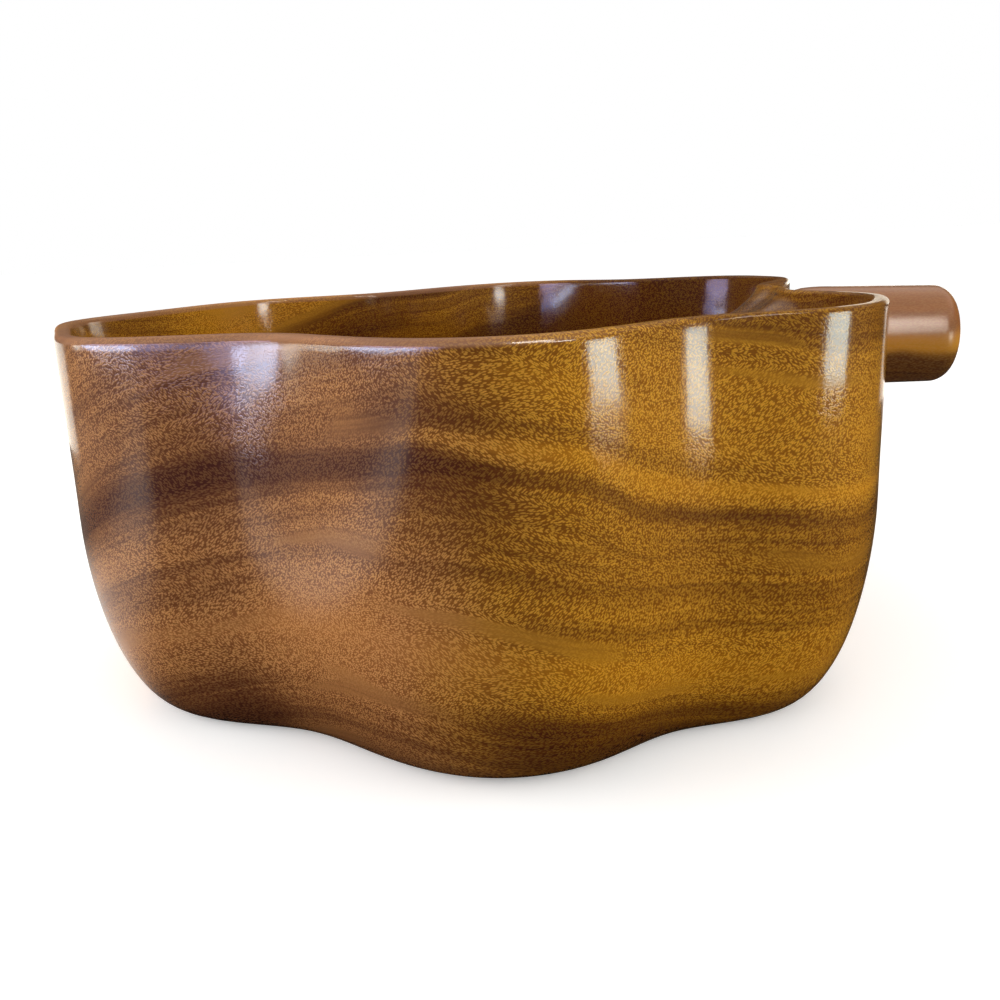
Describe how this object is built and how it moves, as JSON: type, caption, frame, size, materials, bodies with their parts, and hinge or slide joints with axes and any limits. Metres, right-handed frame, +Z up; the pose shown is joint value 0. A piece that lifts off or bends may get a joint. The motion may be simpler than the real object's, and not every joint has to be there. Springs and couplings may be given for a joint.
{
  "type": "wooden serving bowl",
  "caption": "Deep leaf-shaped wooden serving bowl with a lobed thin wall, a large flat foot and a short round stem handle standing out level with the rim.",
  "frame": {"origin": "centre of the flat foot, on the surface that the bowl stands on", "axes": "+X along the leaf from its tip to its stem handle, +Y across the leaf, +Z up"},
  "size_m": [0.339, 0.2954, 0.13],
  "materials": {
    "carved_wood": "clear gloss lacquer over carved hardwood with interlocked grain",
    "stem_wood": "clear gloss lacquer over turned hardwood",
    "dowel_wood": "bare pale hardwood"
  },
  "bodies": {
    "root": {"bowl_body": "carved_wood", "stem_handle": "stem_wood", "handle_dowel": "dowel_wood"}
  },
  "joints": []
}
